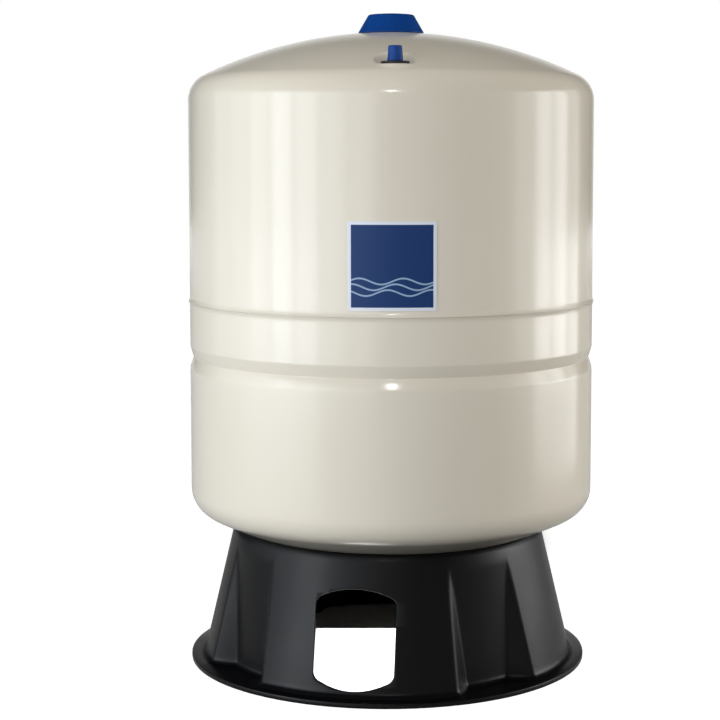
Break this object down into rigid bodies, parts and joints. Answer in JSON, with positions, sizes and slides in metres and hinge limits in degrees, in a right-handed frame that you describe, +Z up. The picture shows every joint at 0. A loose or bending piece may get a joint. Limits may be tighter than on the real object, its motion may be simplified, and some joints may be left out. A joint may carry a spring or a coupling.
{
  "type": "pressure tank",
  "caption": "Upright diaphragm pressure tank in cream painted steel on a black moulded stand, with a blue cap in the dome and a capped air valve.",
  "frame": {"origin": "on the floor, on the tank's axis", "axes": "+Z up, -Y to the front, where the label is"},
  "size_m": [0.3902, 0.3902, 0.6194],
  "materials": {
    "cream_paint": "gloss powder coat",
    "black_plastic": "satin, moulded",
    "blue_plastic": "satin, moulded",
    "label_film": "printed film",
    "bare_steel": "plain",
    "stainless": "turned",
    "zinc_plate": "zinc plated",
    "brass": "turned",
    "black_rubber": "matt",
    "butyl": "matt",
    "liner_plastic": "moulded"
  },
  "bodies": {
    "tank": {"upper_shell": "cream_paint", "lower_shell": "cream_paint", "liner": "liner_plastic", "diaphragm": "butyl", "clinch_ring": "bare_steel", "water_connection": "stainless", "connection_gasket": "black_rubber", "connection_washer": "stainless", "connection_nut": "stainless", "top_boss": "bare_steel", "valve_boss": "bare_steel", "valve_disc": "black_rubber", "valve_body": "brass", "valve_core": "brass", "valve_spring": "stainless", "label": "label_film", "stand": "black_plastic", "stand_stud_1": "bare_steel", "stand_washer_1": "zinc_plate", "stand_nut_1": "zinc_plate", "stand_stud_2": "bare_steel", "stand_washer_2": "zinc_plate", "stand_nut_2": "zinc_plate", "stand_stud_3": "bare_steel", "stand_washer_3": "zinc_plate", "stand_nut_3": "zinc_plate", "stand_stud_4": "bare_steel", "stand_washer_4": "zinc_plate", "stand_nut_4": "zinc_plate"},
    "valve_pin": {"valve_pin": "brass"},
    "valve_cap_rise": {"valve_cap_seal": "black_rubber"},
    "valve_cap": {"valve_cap": "blue_plastic"},
    "top_cap": {"top_cap": "blue_plastic"}
  },
  "joints": [
    {"name": "valve_pin_press", "type": "slide", "parent": "tank", "child": "valve_pin", "axis": [0, 0, -1], "range_m": [0, 0.0012], "stiffness_N_per_m": 1500, "springref_m": -0.001, "deforming": ["valve_spring"]},
    {"name": "valve_cap_lift", "type": "slide", "parent": "tank", "child": "valve_cap_rise", "axis": [0, 0, 1], "range_m": [0, 0.00396]},
    {"name": "valve_cap_turn", "type": "hinge", "parent": "valve_cap_rise", "child": "valve_cap", "pos_m": [0.0036, -0.15996, 0.5715], "axis": [0, 0, 1], "range_deg": [0, 1800]},
    {"name": "top_cap_pull", "type": "slide", "parent": "tank", "child": "top_cap", "axis": [0, 0, 1], "range_m": [0, 0.025]}
  ],
  "couplings": [
    {"joint": "valve_cap_turn", "follows": "valve_cap_lift", "rad_per_m": 7915.8}
  ]
}
